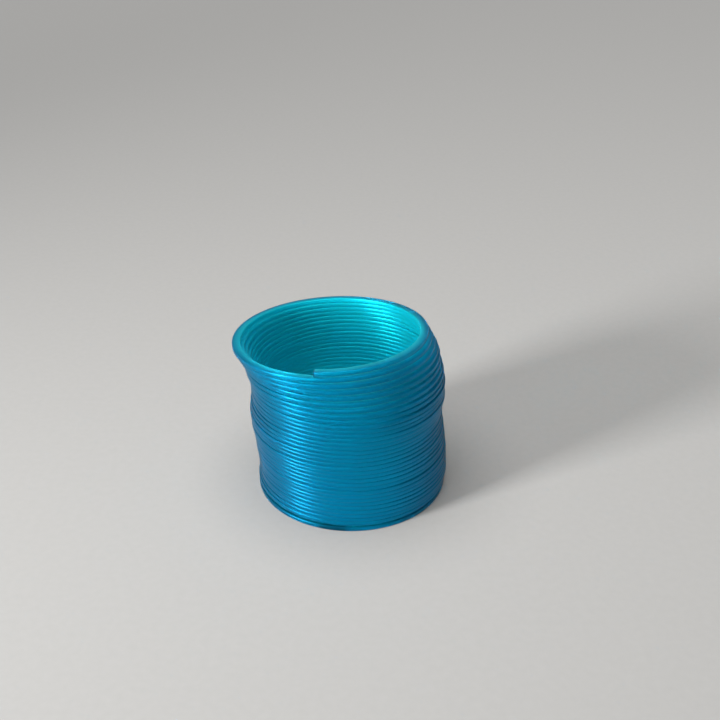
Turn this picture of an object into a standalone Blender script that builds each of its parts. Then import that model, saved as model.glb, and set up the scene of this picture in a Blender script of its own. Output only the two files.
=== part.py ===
"""Spring coil toy: one flat blue plastic strip wound into a left-handed coil of 34 and a half turns.

The real toy is a single flexible strip.  Here it is divided at its turns, so that rigid nodes can show how it
stretches and bends.  A place along the strip is given as a turn number: 0 is where the first turn crosses +X,
1 is one turn higher, and the strip runs clockwise seen from above as it climbs.

The lower turns (the stack) are whole turns that rise on slides.  The upper turns (the head) are half turns:
a back half hinges on the front half before it at -X, and a front half slides on the back half before it at +X.
"""

import math

import bmesh
import bpy
import numpy as np
from mathutils import Matrix, Vector

MM = 0.001

# The strip
OUTER_R = 37.5 * MM
STRIP_WIDTH = 3.2 * MM
STRIP_THICK = 1.5 * MM
TURN_GAP = 0.27 * MM
PITCH = STRIP_THICK + TURN_GAP
SLIT = 0.3 * MM
SEGMENTS_PER_TURN = 36

# Places along the strip, as turn numbers
BOTTOM_END = -0.25
TOP_END = 34.269
LIFT_START = 0.6
STACK_TURNS = 24
LAST_HALF_TURN = 34

# How the turns lie at rest.  The stack wanders to each side: (turn number, millimetres to +X of the base).
BASE_X = 3.32 * MM
WANDER = (
    (0, 0.0),
    (4, 0.8),
    (8, 0.2),
    (12, -0.6),
    (18, -2.1),
    (22, -1.1),
    (25, -1.0),
    (28, -2.3),
    (31, -4.1),
    (34.3, -8.4),
)

# The upper turns are fanned open at the front and right
TILT = math.radians(5.1)
TILT_FROM = 24.0
TILT_AXIS = Vector((-0.86, -0.51, 0.0)).normalized()

BLUE = (0.0, 0.13, 0.36, 1.0)


def ease(value, low, high):
    """0 below low and 1 above high, with no corner at either end."""
    t = min(1.0, max(0.0, (value - low) / (high - low)))
    return t * t * (3 - 2 * t)


def wander_at(turn):
    """How far the ring at this turn number lies to +X of the base, rounded off between the listed places."""
    turns = [place for place, _ in WANDER]
    shifts = [shift for _, shift in WANDER]
    near = [turn + step for step in (-0.8, -0.4, 0.0, 0.4, 0.8)]
    return MM * float(np.mean(np.interp(near, turns, shifts)))


def tilt_at(turn):
    """How far the ring at this turn number leans, in radians: it grows turn by turn towards the top."""
    t = max(0.0, (turn - TILT_FROM) / (TOP_END - TILT_FROM))
    return TILT * t * t * (2 - t)


def height_at(turn):
    """Height of the ring's centre: the first turn lies flat, steps over its own end, then climbs evenly."""
    if turn < BOTTOM_END + 1:
        climb = PITCH * ease(turn, LIFT_START, BOTTOM_END + 1)
    else:
        climb = PITCH * (turn - BOTTOM_END)
    return STRIP_THICK / 2 + climb + OUTER_R * math.tan(tilt_at(turn))


def frame_at(turn):
    """The plane of the ring at this turn number: its centre, and how it is tilted."""
    centre = Vector((BASE_X + wander_at(turn), 0.0, height_at(turn)))
    return Matrix.Translation(centre) @ Matrix.Rotation(tilt_at(turn), 4, TILT_AXIS)


def turn_number(co):
    """The turn number of a point on the evenly wound coil, from its angle and its height."""
    part_turn = (-math.atan2(co.y, co.x) / math.tau) % 1.0
    return part_turn + round(co.z / PITCH - part_turn)


def plastic(name):
    """A glossy blue plastic for one node."""
    material = bpy.data.materials.new(name)
    material.use_nodes = True
    shader = material.node_tree.nodes["Principled BSDF"]
    shader.inputs["Base Color"].default_value = BLUE
    shader.inputs["Roughness"].default_value = 0.25
    shader.inputs["Metallic"].default_value = 0.0
    material.diffuse_color = BLUE
    return material


def strip(name, first, last, origin):
    """A length of strip between two turn numbers, with its object origin at the given point."""
    bm = bmesh.new()
    bmesh.ops.create_grid(bm, x_segments=1, y_segments=1, size=0.5)
    bmesh.ops.scale(bm, vec=(STRIP_WIDTH, STRIP_THICK, 1.0), verts=bm.verts)
    bmesh.ops.rotate(bm, matrix=Matrix.Rotation(math.radians(90), 3, "X"), verts=bm.verts)
    bmesh.ops.translate(bm, vec=(OUTER_R - STRIP_WIDTH / 2, 0.0, PITCH * first), verts=bm.verts)
    bmesh.ops.rotate(bm, matrix=Matrix.Rotation(-math.tau * first, 3, "Z"), verts=bm.verts)
    steps = max(4, round(SEGMENTS_PER_TURN * (last - first)))
    bmesh.ops.spin(
        bm,
        geom=bm.verts[:] + bm.edges[:] + bm.faces[:],
        cent=(0.0, 0.0, 0.0),
        axis=(0.0, 0.0, 1.0),
        dvec=(0.0, 0.0, PITCH * (last - first) / steps),
        angle=-math.tau * (last - first),
        steps=steps,
        use_merge=False,
    )
    for vert in bm.verts:
        turn = turn_number(vert.co)
        in_ring = Vector((vert.co.x, vert.co.y, vert.co.z - PITCH * turn))
        vert.co = frame_at(turn) @ in_ring - origin
    bmesh.ops.recalc_face_normals(bm, faces=bm.faces)
    mesh = bpy.data.meshes.new(name)
    bm.to_mesh(mesh)
    bm.free()
    mesh.materials.append(plastic(name + "_plastic"))
    obj = bpy.data.objects.new(name, mesh)
    obj.location = origin
    bpy.context.scene.collection.objects.link(obj)
    return obj


def hinge_point(turn):
    """Where the strip bends at -X: the lower outer edge of the ring that starts at this turn number."""
    return frame_at(turn) @ Vector((-OUTER_R, 0.0, -STRIP_THICK / 2))


def slide_point(turn):
    """Where the strip opens at +X: the middle of its section."""
    return frame_at(turn) @ Vector((OUTER_R - STRIP_WIDTH / 2, 0.0, 0.0))


def clear_scene():
    for obj in list(bpy.data.objects):
        bpy.data.objects.remove(obj, do_unlink=True)


def build():
    clear_scene()
    cut = SLIT / 2 / (math.tau * (OUTER_R - STRIP_WIDTH / 2))
    strip("turn_01_base", BOTTOM_END, 1 - cut, Vector((BASE_X, 0.0, 0.0)))
    for number in range(2, STACK_TURNS + 1):
        centre = frame_at(number - 0.5).translation
        strip(f"turn_{number:02d}", number - 1 + cut, number - cut, centre)
    for number in range(STACK_TURNS + 1, LAST_HALF_TURN + 1):
        middle = number - 0.5
        strip(f"turn_{number:02d}_front", number - 1 + cut, middle - cut, slide_point(number - 1))
        strip(f"turn_{number:02d}_back", middle + cut, number - cut, hinge_point(middle))
    number = LAST_HALF_TURN + 1
    strip(f"turn_{number:02d}_end", number - 1 + cut, TOP_END, slide_point(number - 1))


build()
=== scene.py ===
# %% [markdown]
# # A spring coil toy, from one strip of plastic
#
# The toy is a single flat strip of blue plastic, wound left-handed into a closed coil of
# 34 and a half turns.  Nothing else belongs to it: no core, no cap, no screw.
#
# This file builds that strip around a fixed frame, which already knows how the coil
# stretches and bends.  We keep the frame's places, and put a better looking strip on them.

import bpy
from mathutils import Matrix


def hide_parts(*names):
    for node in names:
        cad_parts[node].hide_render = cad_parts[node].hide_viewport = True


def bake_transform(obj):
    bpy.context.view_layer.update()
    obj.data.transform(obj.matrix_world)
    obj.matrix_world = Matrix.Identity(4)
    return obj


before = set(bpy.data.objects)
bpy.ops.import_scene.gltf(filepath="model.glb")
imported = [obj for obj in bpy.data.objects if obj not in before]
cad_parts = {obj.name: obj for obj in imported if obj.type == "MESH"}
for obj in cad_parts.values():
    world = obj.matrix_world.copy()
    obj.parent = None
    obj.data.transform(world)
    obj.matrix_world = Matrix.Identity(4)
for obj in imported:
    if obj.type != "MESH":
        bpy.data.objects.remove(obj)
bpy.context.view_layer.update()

# %% Modules, and the unit of length
import math

import bmesh
import bpy
import numpy as np
from mathutils import Matrix, Vector

MM = 0.001

# %% [markdown]
# ## Measurements of the strip
#
# The strip's section is a small flat rectangle with rounded edges, 3.2 mm from the inside of
# the coil to the outside and 1.72 mm high.  Each turn climbs 1.77 mm, so that two turns
# almost touch.  The rounded edges matter most for the looks: where two of them meet they
# leave a groove, and the upper one catches a thin line of light.
#
# The rounding is a bevel with four steps.  A subdivided rectangle would be rounder, but it
# would also lose the flat faces that show a broad band of light.

# %% The strip's own sizes
OUTER_R = 37.5 * MM
STRIP_WIDTH = 3.2 * MM
STRIP_HEIGHT = 1.72 * MM
EDGE_RADIUS = 0.36 * MM
PITCH = 1.77 * MM
FIRST_CENTRE = 0.86 * MM
MID_R = OUTER_R - STRIP_WIDTH / 2
TURN_LENGTH = math.tau * MID_R
STEPS_PER_TURN = 96
EDGE_SEGMENTS = 4
print(f"one turn takes {TURN_LENGTH / MM:.0f} mm of strip")

# %% [markdown]
# ## Where the turns lie
#
# A place along the strip is a turn number.  Turn 0 starts at +X, and the strip runs clockwise
# as it climbs, so 0.25 is the front, 0.5 is at -X and 0.75 is the back.  A coil that has
# been put down by hand never stands quite straight: the stack wanders a little to each side,
# and the upper turns are fanned open at the front and right.
#
# We could model one straight coil and bend it afterwards with modifiers.  Giving each ring
# its own frame (a centre and a tilt) is easier to steer, because the places stay the same
# as those of the frame's bodies.

# %% How the coil stands
BOTTOM_END = -0.25  # at the back
TOP_END = 34.269  # at the front
LIFT_START = 0.6
BASE_X = 3.32 * MM
WANDER = (  # turn number, millimetres to +X of the base
    (0, 0.0),
    (4, 0.8),
    (8, 0.2),
    (12, -0.6),
    (18, -2.1),
    (22, -1.1),
    (25, -1.0),
    (28, -2.3),
    (31, -4.1),
    (34.3, -8.4),
)
ROUNDING_STEPS = (-0.8, -0.4, 0.0, 0.4, 0.8)  # in turns
TILT = math.radians(5.1)
TILT_FROM = 24.0
TILT_AXIS = Vector((-0.86, -0.51, 0.0)).normalized()


def ease(value, low, high):
    """0 below low and 1 above high, with no corner at either end."""
    t = min(1.0, max(0.0, (value - low) / (high - low)))
    return t * t * (3 - 2 * t)


def wander_at(turn):
    """How far a ring lies to +X of the base, rounded off between the listed places."""
    turns = [place for place, _ in WANDER]
    shifts = [shift for _, shift in WANDER]
    near = [turn + step for step in ROUNDING_STEPS]
    return MM * float(np.mean(np.interp(near, turns, shifts)))


def tilt_at(turn):
    """How far a ring leans, in radians."""
    t = max(0.0, (turn - TILT_FROM) / (TOP_END - TILT_FROM))
    return TILT * t * t * (2 - t)


def height_at(turn):
    """Height of a ring's centre: the first turn lies flat, steps over its own end, then climbs."""
    if turn < BOTTOM_END + 1:
        climb = PITCH * ease(turn, LIFT_START, BOTTOM_END + 1)
    else:
        climb = PITCH * (turn - BOTTOM_END)
    return FIRST_CENTRE + climb + OUTER_R * math.tan(tilt_at(turn))


def frame_at(turn):
    """The plane of the ring at this turn number: its centre, and how it is tilted."""
    centre = Vector((BASE_X + wander_at(turn), 0.0, height_at(turn)))
    return Matrix.Translation(centre) @ Matrix.Rotation(tilt_at(turn), 4, TILT_AXIS)


print(f"the whole strip is {(TOP_END - BOTTOM_END) * TURN_LENGTH:.1f} m long")
print(f"its upper end lies in a ring {height_at(TOP_END) / MM:.1f} mm up")

# %% [markdown]
# ## Loose turns
#
# On the real toy some turns stand a fraction of a millimetre proud of their neighbours, and
# that is why the light breaks into lines of different strength.  Each ring gets a small
# sideways shift from a few slow waves, which never repeat from turn to turn.  Two turns are
# moved more than the rest at the front: one stands out, and one higher up lies in.
#
# Waves are used here, not random numbers, because the shift has to run on smoothly from
# one length of strip into the next.

# %% Small shifts between turns
LOOSE = 0.11 * MM
SIDEWAYS_WAVES = ((1.0, 0.37, 0.1), (0.7, 0.213, 0.6))  # strength, waves per turn, start
FORWARD_WAVES = ((1.0, 0.29, 0.45), (0.7, 0.171, 0.2))
PROUD = ((9.25, 0.4 * MM), (26.25, -0.35 * MM))  # turn number, how far out at the front
PROUD_SPREAD = 0.22  # in turns


def waves_at(turn, waves):
    """The sum of a few waves at this turn number."""
    return sum(strength * math.sin(math.tau * (rate * turn + start)) for strength, rate, start in waves)


def loose_shift(turn):
    """A small shift of the ring in its own plane, and at two turns a push out or in at the front."""
    pushed = sum(out * math.exp(-(((turn - place) / PROUD_SPREAD) ** 2)) for place, out in PROUD)
    sideways = LOOSE * waves_at(turn, SIDEWAYS_WAVES)
    forward = LOOSE * waves_at(turn, FORWARD_WAVES)
    return Vector((sideways, forward - pushed, 0.0))


shifts = [loose_shift(turn / 4).length for turn in range(4 * round(TOP_END))]
print(f"turns are shifted by {min(shifts) / MM:.2f} to {max(shifts) / MM:.2f} mm")


# %% [markdown]
# ## One length of strip
#
# A helix can be made with the Screw modifier, with a curve and a bevel object, or with the
# spin operator and a step along its axis.  Spin is the simplest to cut to any length: it
# carries a section round, and closes both ends.  Afterwards each point is laid onto the
# frame of its own ring.
#
# To let the strip flex we have to divide it, but the real plastic isn't cut there.  A wall
# across clear plastic would show as a dark line, so a length keeps its closing face only
# at the strip's two real ends.  Neighbouring lengths share the same edge points.

# %% The strip's section
def section(bm, turn):
    """A rectangle with rounded edges, standing at this turn number of an evenly wound coil."""
    bmesh.ops.create_grid(bm, x_segments=1, y_segments=1, size=0.5)
    bmesh.ops.scale(bm, vec=(STRIP_WIDTH, STRIP_HEIGHT, 1.0), verts=bm.verts)
    bmesh.ops.bevel(
        bm,
        geom=bm.verts[:],
        offset=EDGE_RADIUS,
        offset_type="OFFSET",
        segments=EDGE_SEGMENTS,
        profile=0.5,
        affect="VERTICES",
        material=-1,
    )
    bmesh.ops.rotate(bm, matrix=Matrix.Rotation(math.radians(90), 3, "X"), verts=bm.verts)
    bmesh.ops.translate(bm, vec=(MID_R, 0.0, PITCH * turn), verts=bm.verts)
    bmesh.ops.rotate(bm, matrix=Matrix.Rotation(-math.tau * turn, 3, "Z"), verts=bm.verts)


def turn_number(co):
    """The turn number of a point on the evenly wound coil, from its angle and its height."""
    part_turn = (-math.atan2(co.y, co.x) / math.tau) % 1.0
    return part_turn + round(co.z / PITCH - part_turn)


# %% A length of strip between two turn numbers
INSIDE, REAL_END = "inside", "real end"


def strip_length(name, first, last, start=INSIDE, finish=INSIDE):
    """A length of strip.  It is closed at a real end, and open where the plastic goes on."""
    bm = bmesh.new()
    unrolled = bm.verts.layers.float_vector.new("unrolled")
    section(bm, first)
    steps = max(2, math.ceil(STEPS_PER_TURN * (last - first)))
    bmesh.ops.spin(
        bm,
        geom=bm.verts[:] + bm.edges[:] + bm.faces[:],
        cent=(0.0, 0.0, 0.0),
        axis=(0.0, 0.0, 1.0),
        dvec=(0.0, 0.0, PITCH * (last - first) / steps),
        angle=-math.tau * (last - first),
        steps=steps,
        use_merge=False,
    )
    bmesh.ops.recalc_face_normals(bm, faces=bm.faces)
    middle = (first + last) / 2
    closings = [face for face in bm.faces if len(face.verts) > 4]
    for face in bm.faces:
        face.smooth = len(face.verts) == 4
    inside = []
    for face in closings:
        is_start = turn_number(face.calc_center_median()) < middle
        if (start if is_start else finish) == INSIDE:
            inside.append(face)
    bmesh.ops.delete(bm, geom=inside, context="FACES_ONLY")
    for vert in bm.verts:
        turn = turn_number(vert.co)
        in_ring = Vector((vert.co.x, vert.co.y, vert.co.z - PITCH * turn))
        across = math.hypot(vert.co.x, vert.co.y) - MID_R
        vert[unrolled] = Vector((TURN_LENGTH * turn, across, in_ring.z))
        vert.co = frame_at(turn) @ (in_ring + loose_shift(turn))
    mesh = bpy.data.meshes.new(name)
    bm.to_mesh(mesh)
    bm.free()
    mesh.materials.append(strip_plastic)
    obj = bpy.data.objects.new(name, mesh)
    bpy.context.scene.collection.objects.link(obj)
    return obj


# %% [markdown]
# ## Colours, and a helper for nodes
#
# Colours are written as the hex values that a screen shows, and turned into the linear
# values that the renderer adds up light with.  One small function adds a node, sets it and
# links it, so that each material reads as a list.

# %% Colours
def linear(hex_colour):
    """An sRGB hex colour as linear red, green, blue and alpha."""
    channels = [int(hex_colour[i : i + 2], 16) / 255 for i in (1, 3, 5)]
    return tuple(c / 12.92 if c <= 0.04045 else ((c + 0.055) / 1.055) ** 2.4 for c in channels) + (1.0,)


print("mid grey on screen is", round(linear("#808080")[0], 3), "in the renderer")


# %% Node helpers
def add_node(tree, kind, settings=None, links=None, **attributes):
    """Adds a node: attributes such as an operation, values on its inputs, and links into them."""
    node = tree.nodes.new(kind)
    for name, value in attributes.items():
        setattr(node, name, value)
    for key, value in (settings or {}).items():
        node.inputs[key].default_value = value
    for key, socket in (links or {}).items():
        tree.links.new(socket, node.inputs[key])
    return node


def new_material(name):
    """An empty node material and its output node."""
    material = bpy.data.materials.new(name)
    material.use_nodes = True
    material.node_tree.nodes.clear()
    output = material.node_tree.nodes.new("ShaderNodeOutputMaterial")
    return material, material.node_tree, output


# %% [markdown]
# ## The plastic
#
# Coil toys are wound from an extruded strip of tinted, slightly milky styrene plastic.  Light
# goes into the strip and comes out coloured, so one layer looks teal, and places where one
# looks through many turns look deep blue.  The inner side is a little milkier than the outer
# side.  Its colour is painted a lighter teal, as painted light for the lit inside of the coil,
# and the outer side's blue is painted darker, as painted shade.
#
# The patterns read the attribute "unrolled", which holds each point's place on the strip as
# if it lay straight: along it, across it (from inside to outside) and up.

# %% The plastic's colours
# The outer blue is the plastic's own blue, painted darker as painted shade.  The inner teal is painted
# light: a lighter teal for the lit inside of the coil.
OUTER_BLUE_WITH_PAINTED_SHADE = "#008ABA"
PAINTED_LIT_TEAL = "#18F8FF"
# Painted shade: a dark blue painted over the last half millimetre of the strip's upper end.
PAINTED_END_SHADE = "#003C66"
END_SHADE_LENGTH = 0.5 * MM


def strip_colour(tree, along, outward):
    """Painted light teal inside to blue with painted shade outside, and painted shade at the strip's upper
    end.
    """
    # Painted light and shade: the inner side is painted a lighter teal and the outer side a darker blue.
    painted_light_tint = add_node(
        tree,
        "ShaderNodeMix",
        {"A": linear(PAINTED_LIT_TEAL), "B": linear(OUTER_BLUE_WITH_PAINTED_SHADE)},
        {"Factor": outward},
        data_type="RGBA",
    )
    # Painted shade at the upper end: the colour turns dark blue over the last half millimetre.
    end_shade = add_node(
        tree,
        "ShaderNodeMapRange",
        {"From Min": TURN_LENGTH * TOP_END - END_SHADE_LENGTH, "From Max": TURN_LENGTH * TOP_END},
        {"Value": along},
    )
    body = add_node(
        tree,
        "ShaderNodeMix",
        {"B": linear(PAINTED_END_SHADE)},
        {"Factor": end_shade.outputs["Result"], "A": painted_light_tint.outputs["Result"]},
        data_type="RGBA",
    )
    return body.outputs["Result"]


# %% [markdown]
# The die that the strip is pressed through leaves fine lines along it.  They are noise,
# stretched sixty times as long as it is wide.  They make the gloss satin: a highlight is
# broken into streaks along the strip, and never becomes a clean mirror image.

# %% The lines that the die leaves
LINE_SPACING = 0.5 * MM  # the real lines are finer, and would not show
STREAK_LENGTH = 30 * MM
LINE_DEPTH = 0.03 * MM
LINE_STRENGTH = 0.25


def die_lines(tree, place):
    """Noise drawn out along the strip, as a number from 0 to 1."""
    scale = (1 / STREAK_LENGTH, 1 / LINE_SPACING, 1 / LINE_SPACING)
    stretched = add_node(tree, "ShaderNodeMapping", {"Scale": scale}, {"Vector": place})
    settings = {"Scale": 1.0, "Detail": 2.0}
    noise = add_node(tree, "ShaderNodeTexNoise", settings, {"Vector": stretched.outputs["Vector"]})
    return noise.outputs["Fac"]


# %% [markdown]
# In the Principled shader most of the surface acts as rough tinted glass (Transmission), and
# the rest as a matt body, which is the milkiness.  A small metallic share stands for the
# light that turns round just under the surface, and gives this plastic its coloured gloss.
#
# Subsurface scattering would be the other way.  It looks right on thick wax or skin, but in
# a strip this thin it costs render time and hides the light that passes between turns.

# %% The strip's plastic
STYRENE_IOR = 1.27  # lower than real styrene's 1.59, so that the pale floor whitens the sides less
COLOURED_GLOSS = 0.13
GLOSS_CYAN = "#40DCF8"
CLEAR_INSIDE, CLEAR_OUTSIDE = 0.9, 0.95
SATIN_LOW, SATIN_HIGH = 0.27, 0.41


def tinted_styrene():
    """Tinted milky styrene, extruded and wound: gives the eye satin gloss, streaks and see-through blue."""
    material, tree, output = new_material("tinted_styrene_extruded")
    place = add_node(tree, "ShaderNodeAttribute", attribute_name="unrolled").outputs["Vector"]
    parts = add_node(tree, "ShaderNodeSeparateXYZ", links={"Vector": place})
    width = {"From Min": -STRIP_WIDTH / 2, "From Max": STRIP_WIDTH / 2}
    across = add_node(tree, "ShaderNodeMapRange", width, {"Value": parts.outputs["Y"]})
    outward = across.outputs["Result"]
    clearness = {"To Min": CLEAR_INSIDE, "To Max": CLEAR_OUTSIDE}
    clear = add_node(tree, "ShaderNodeMapRange", clearness, {"Value": outward})
    lines = die_lines(tree, place)
    roughness = {"To Min": SATIN_LOW, "To Max": SATIN_HIGH}
    satin = add_node(tree, "ShaderNodeMapRange", roughness, {"Value": lines})
    depth = {"Strength": LINE_STRENGTH, "Distance": LINE_DEPTH}
    relief = add_node(tree, "ShaderNodeBump", depth, {"Height": lines})
    plastic = add_node(
        tree,
        "ShaderNodeBsdfPrincipled",
        {"IOR": STYRENE_IOR, "Metallic": COLOURED_GLOSS, "Specular Tint": linear(GLOSS_CYAN)},
        {
            "Base Color": strip_colour(tree, parts.outputs["X"], outward),
            "Transmission Weight": clear.outputs["Result"],
            "Roughness": satin.outputs["Result"],
            "Normal": relief.outputs["Normal"],
        },
    )
    tree.links.new(plastic.outputs["BSDF"], output.inputs["Surface"])
    return material


strip_plastic = tinted_styrene()
print("plastic nodes:", len(strip_plastic.node_tree.nodes))

# %% [markdown]
# ## Lengths of strip for the coil's movement
#
# When the coil is pulled up, every turn rises a little more than the turn below it.  A length
# of strip is given two bodies, and a share of each at its two ends, but here the bodies do not
# move it.  A blend along a straight line would cut across the circle that the strip runs
# round, so each turn is built in quarter turns and welded together again.
#
# The shares lie on a soft ramp that eases in and out.  For a chosen share at each end of a
# quarter turn, we ask where on that soft ramp the share lies.

# %% Where a share lies on a soft ramp
def place_on_ramp(share):
    """Where a soft ramp from 0 to 1 reaches this share."""
    return 0.5 - math.sin(math.asin(1 - 2 * share) / 3)


def on_ring(turn):
    """The middle of the strip at this turn number, in its ring's own frame."""
    angle = -math.tau * turn
    return Vector((MID_R * math.cos(angle), MID_R * math.sin(angle), 0.0))


print("a tenth of the way up lies at", round(place_on_ramp(0.1), 3), "of a soft ramp")


# %% A quarter turn between two bodies
NO_STRETCH = 1e-6


def blended_length(name, bodies, first, last, shares, start, finish):
    """A length of strip between two turn numbers.  It stays where it is built: the bodies are not used, and
    the shares only decide whether its transform is applied.
    """
    obj = strip_length(name, first, last, start, finish)
    low, high = (place_on_ramp(share) for share in shares)
    if high - low > NO_STRETCH:
        here, there = (frame_at(turn) @ on_ring(turn) for turn in (first, last))
        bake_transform(obj)
    return obj


# %% Joining lengths into one piece
WELD_DISTANCE = 0.005 * MM


def weld(name, lengths):
    """Joins lengths end to end into the last one, and welds the points they share."""
    bpy.ops.object.select_all(action="DESELECT")
    for obj in lengths:
        obj.select_set(True)
    bpy.context.view_layer.objects.active = lengths[-1]
    if len(lengths) > 1:
        bpy.ops.object.join()
    piece = bpy.context.view_layer.objects.active
    bm = bmesh.new()
    bm.from_mesh(piece.data)
    bmesh.ops.remove_doubles(bm, verts=bm.verts, dist=WELD_DISTANCE)
    bm.to_mesh(piece.data)
    bm.free()
    piece.name = name
    piece.data.name = name
    return piece


# %% A piece of strip between two bodies
def turning_piece(name, bodies, cuts, share, node, start=INSIDE, finish=INSIDE):
    """A piece of strip from the first to the last cut, with share(turn) worked out at each cut, in place of
    this node, which is hidden.
    """
    lengths = []
    for index, (low, high) in enumerate(zip(cuts, cuts[1:])):
        kinds = (start if index == 0 else INSIDE, finish if index == len(cuts) - 2 else INSIDE)
        shares = (share(low), share(high))
        lengths.append(blended_length(f"{name}_{index}", bodies, low, high, shares, *kinds))
    piece = weld(name, lengths)
    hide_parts(node)


# %% [markdown]
# ## The stack
#
# The lower 24 turns only rise.  The lowest half turn stays flat on the table, and from there
# each place rises in proportion to its turn number, up to the first turn that bends.
#
# Every piece of the stack therefore gets the same two bodies: the lowest turn, and the first
# one above the stack, though nothing here moves it with them.  Riding each turn on its own
# body would be the other way, but then the strip would step up at every cut instead of
# rising as one even spiral.

# %% How the stack stretches
STACK_TURNS = 24
TWIST = 0.08  # half the length of a twist at -X, in turns
STILL_UNTIL = 0.5
STACK_BODIES = ("turn_01_base", "turn_25_front")
STACK_TOP = STACK_TURNS + 0.5 - TWIST


def share_between(turn, low, high):
    """0 at the lower turn number and below, 1 at the higher one and above, and even between them."""
    return min(1.0, max(0.0, (turn - low) / (high - low)))


def stack_share(turn):
    """Share of the stack's stretch at this turn number."""
    return share_between(turn, STILL_UNTIL, STACK_TOP)


print(f"half way up, turn 12 takes {stack_share(12):.2f} of the stretch")

# %% Build the stack
base_cuts = [BOTTOM_END, 0.0, 0.25, STILL_UNTIL, 0.75, 1.0]
turning_piece("strip_turn_01", STACK_BODIES, base_cuts, stack_share, "turn_01_base", start=REAL_END)
for number in range(2, STACK_TURNS + 1):
    quarter_cuts = [number - 1 + quarter / 4 for quarter in range(5)]
    node = f"turn_{number:02d}"
    turning_piece(f"strip_{node}", STACK_BODIES, quarter_cuts, stack_share, node)
top_cuts = [STACK_TURNS, STACK_TURNS + 0.25, STACK_TOP]
turning_piece("strip_turn_25_front", STACK_BODIES, top_cuts, stack_share, "turn_25_front")
print("pieces in the stack:", STACK_TURNS + 1)

# %% [markdown]
# ## The head
#
# The upper ten turns also bend.  A bent coil hinges on one side, and there each turn twists a
# little.  That twist is a short piece of its own at -X.  In a bent coil the rest of each
# ring, from one twist to the next, opens like a page; here it is a back piece and a front piece.

# %% The twists
LAST_HALF_TURN = 34


def twist_piece(number):
    """The short length at -X between the front half and the back half of a turn."""
    middle = number - 0.5
    name = f"strip_turn_{number:02d}_twist"
    piece = weld(name, [strip_length(name, middle - TWIST, middle + TWIST)])
    centre = frame_at(middle) @ on_ring(middle)
    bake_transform(piece)


print(f"a twist takes {2 * TWIST * TURN_LENGTH / MM:.0f} mm of strip")


# %% The rings between the twists
def opening_ring(number):
    """From the twist of this turn to the next twist, or to the strip's end: a back and a front piece."""
    begin, end = number - 0.5 + TWIST, number + 0.5 - TWIST
    last = number == LAST_HALF_TURN
    after = f"turn_{number + 1:02d}_{'end' if last else 'front'}"
    bodies = (f"turn_{number:02d}_back", after)

    def share(turn):
        return share_between(turn, begin, end)

    back_cuts = [begin, number - 0.25, number]
    turning_piece(f"strip_turn_{number:02d}_back", bodies, back_cuts, share, bodies[0])
    front_cuts = [number, TOP_END] if last else [number, number + 0.25, end]
    finish = REAL_END if last else INSIDE
    turning_piece(f"strip_{after}", bodies, front_cuts, share, after, finish=finish)


for number in range(STACK_TURNS + 1, LAST_HALF_TURN + 1):
    twist_piece(number)
    opening_ring(number)

# %% [markdown]
# ## The floor
#
# The coil stands on a plain pale floor of matt painted board.  The floor is large, so that a
# camera near the ground still sees it run off into the distance.  Its paint has a very
# faint grain and next to no gloss, because a glossy floor would show the lamp.

# %% The floor's paint
FLOOR_SIZE = 12.0
FLOOR_GREYS = ("#858482", "#898886")
FLOOR_GRAIN = 3 * MM
PAINT_ROUGHNESS = 0.9
PAINT_GLOSS = 0.2


def painted_board():
    """Matt paint rolled on board: gives the eye a calm, pale, slightly uneven grey."""
    material, tree, output = new_material("painted_board_matt")
    where = add_node(tree, "ShaderNodeTexCoord").outputs["Object"]
    grain = add_node(tree, "ShaderNodeTexNoise", {"Scale": 1 / FLOOR_GRAIN}, {"Vector": where})
    greys = {"A": linear(FLOOR_GREYS[0]), "B": linear(FLOOR_GREYS[1])}
    shade = add_node(tree, "ShaderNodeMix", greys, {"Factor": grain.outputs["Fac"]}, data_type="RGBA")
    finish = {"Roughness": PAINT_ROUGHNESS, "Specular IOR Level": PAINT_GLOSS}
    paint = add_node(tree, "ShaderNodeBsdfPrincipled", finish, {"Base Color": shade.outputs["Result"]})
    tree.links.new(paint.outputs["BSDF"], output.inputs["Surface"])
    return material


# %% The floor
def pale_floor():
    """A square sheet at the height the coil stands on."""
    bm = bmesh.new()
    bmesh.ops.create_grid(bm, x_segments=1, y_segments=1, size=FLOOR_SIZE / 2)
    mesh = bpy.data.meshes.new("floor")
    bm.to_mesh(mesh)
    bm.free()
    mesh.materials.append(painted_board())
    floor = bpy.data.objects.new("floor", mesh)
    bpy.context.scene.collection.objects.link(floor)


pale_floor()
print(f"the floor is {FLOOR_SIZE:.0f} m wide")

# %% [markdown]
# ## Light
#
# One upright soft lamp stands low to the left on the camera's side, like a window, and gives
# the long highlight on the strip.  Its beam is narrowed, so that it lights the coil and
# leaves the floor beside the lamp alone.  The ceiling is a sun lamp with a very wide disc:
# it lights the inside of the coil softly, and it lights the far floor as much as the near
# floor, which a nearby lamp wouldn't.
#
# Around them lies a dim grey surround, which keeps the shadows from going black.  A picture
# of a studio would give livelier reflections, but a plain grey keeps the lines on the strip
# clear to read.  It is paler in a band at the horizon, so that the floor's edge stays soft.

# %% Lamps
COIL_MIDDLE = Vector((0.0, 0.0, 0.035))
WINDOW_PLACE = Vector((-0.95, -0.6, 0.27))
WINDOW_SIZE = (0.24, 0.5)
WINDOW_WATTS = 6.3
WINDOW_SPREAD = math.radians(60)
CEILING_PLACE = Vector((-0.2, -0.1, 1.5))
CEILING_STRENGTH = 4.3
CEILING_ANGLE = math.radians(60)


def add_lamp(name, kind, place, **settings):
    """A lamp of this kind, aimed at the middle of the coil."""
    data = bpy.data.lights.new(name, kind)
    for key, value in settings.items():
        setattr(data, key, value)
    lamp = bpy.data.objects.new(name, data)
    lamp.location = place
    lamp.rotation_euler = (COIL_MIDDLE - place).to_track_quat("-Z", "Y").to_euler()
    bpy.context.scene.collection.objects.link(lamp)


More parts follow.
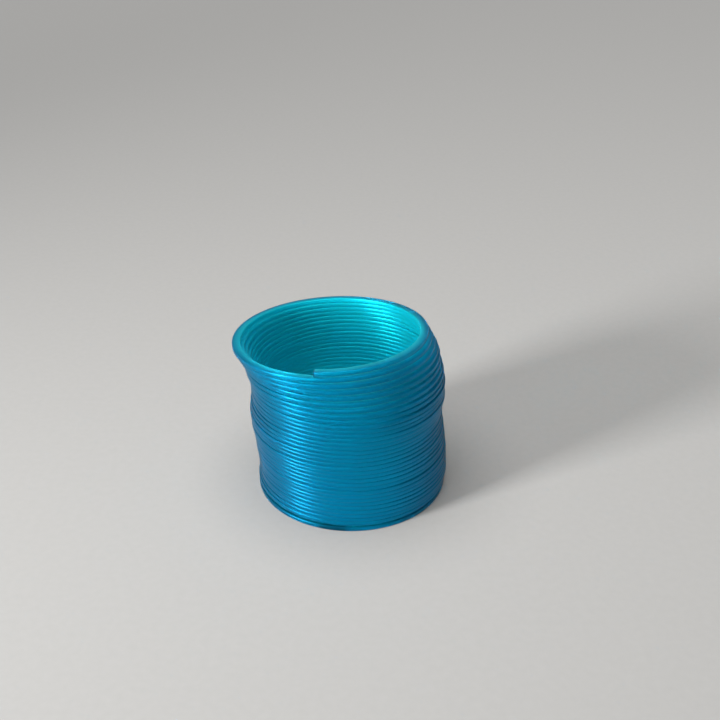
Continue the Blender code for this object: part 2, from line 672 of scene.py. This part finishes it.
add_lamp(
    "window_lamp",
    "AREA",
    WINDOW_PLACE,
    shape="RECTANGLE",
    size=WINDOW_SIZE[0],
    size_y=WINDOW_SIZE[1],
    energy=WINDOW_WATTS,
    spread=WINDOW_SPREAD,
)
add_lamp("ceiling_lamp", "SUN", CEILING_PLACE, energy=CEILING_STRENGTH, angle=CEILING_ANGLE)
print(f"the window lamp stands {(WINDOW_PLACE - COIL_MIDDLE).length:.2f} m from the coil")

# %% The air around the stage
AIR_GREY = "#DADDE0"
AIR_STRENGTH = 0.25
HORIZON_STRENGTH = 0.5
HORIZON_HEIGHTS = (0.05, 0.4)


def studio_air():
    """A dim grey surround, paler in a band at the horizon where the floor ends."""
    world = bpy.data.worlds.new("studio_air")
    world.use_nodes = True
    tree = world.node_tree
    where = add_node(tree, "ShaderNodeTexCoord")
    parts = add_node(tree, "ShaderNodeSeparateXYZ", links={"Vector": where.outputs["Generated"]})
    low, high = HORIZON_HEIGHTS
    strength = add_node(
        tree,
        "ShaderNodeMapRange",
        {"From Min": low, "From Max": high, "To Min": HORIZON_STRENGTH, "To Max": AIR_STRENGTH},
        {"Value": parts.outputs["Z"]},
    )
    background = tree.nodes["Background"]
    background.inputs["Color"].default_value = linear(AIR_GREY)
    tree.links.new(strength.outputs["Result"], background.inputs["Strength"])
    bpy.context.scene.world = world


studio_air()
bpy.context.scene.view_settings.view_transform = "Standard"
print("lamps:", len(bpy.data.lights), " world:", bpy.context.scene.world.name)

# %% [markdown]
# ## Camera
#
# The camera looks down at the coil as a person at a desk does, from about 40 cm away, so
# that both the outside and the inside show.

# %% Camera
EYE = (BASE_X + 3.5 * MM, -0.345, 0.246)
LOOK_DOWN = math.radians(29.2)
LENS_MM, SENSOR_MM = 51.5, 36.0
camera_data = bpy.data.cameras.new("camera")
camera_data.lens = LENS_MM
camera_data.sensor_width = SENSOR_MM
camera = bpy.data.objects.new("camera", camera_data)
camera.location = EYE
camera.rotation_euler = (math.pi / 2 - LOOK_DOWN, 0.0, 0.0)
bpy.context.scene.collection.objects.link(camera)
bpy.context.scene.camera = camera
print(f"the camera is {(Vector(EYE) - COIL_MIDDLE).length:.2f} m from the coil")
